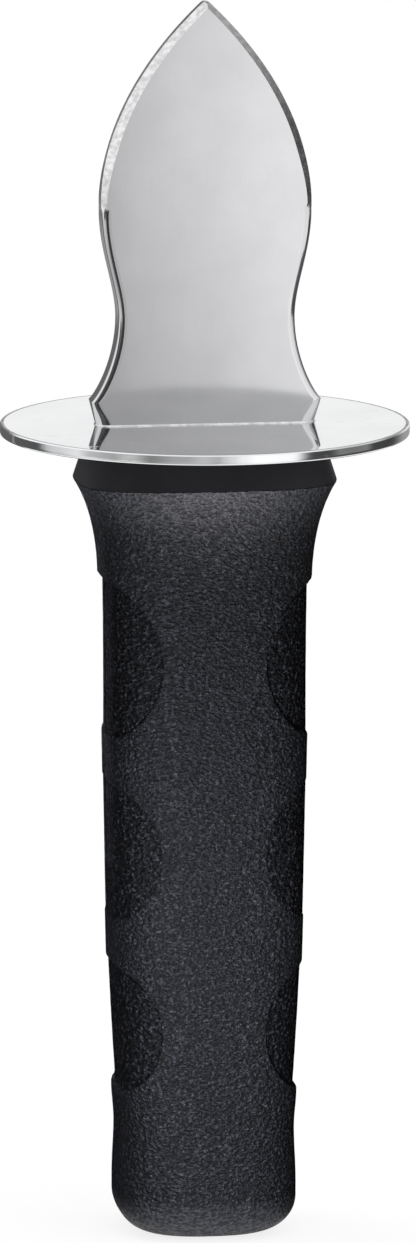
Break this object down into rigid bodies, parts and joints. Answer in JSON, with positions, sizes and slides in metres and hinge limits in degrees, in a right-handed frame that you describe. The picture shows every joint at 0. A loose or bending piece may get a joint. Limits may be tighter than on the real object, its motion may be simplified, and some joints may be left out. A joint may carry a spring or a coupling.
{
  "type": "oyster knife",
  "caption": "Oyster knife with a short leaf-shaped blade, a flat round steel hand guard and a grained black grip with shallow side scallops.",
  "frame": {"origin": "centre of the flat face under the butt of the handle, where the knife stands", "axes": "+Z runs along the knife from the butt to the tip, X runs across the width of the blade, and Y through its thickness"},
  "size_m": [0.0574, 0.0574, 0.1745],
  "materials": {
    "blade_steel": "satin ground flats with bright bevels",
    "guard_steel": "mirror-polished stainless sheet",
    "core_plastic": "smooth, slightly satin",
    "grip_skin": "fine pebble grain, matt"
  },
  "bodies": {
    "root": {"blade": "blade_steel", "guard_plate": "guard_steel", "handle_core": "core_plastic", "grip_sleeve": "grip_skin"}
  },
  "joints": []
}
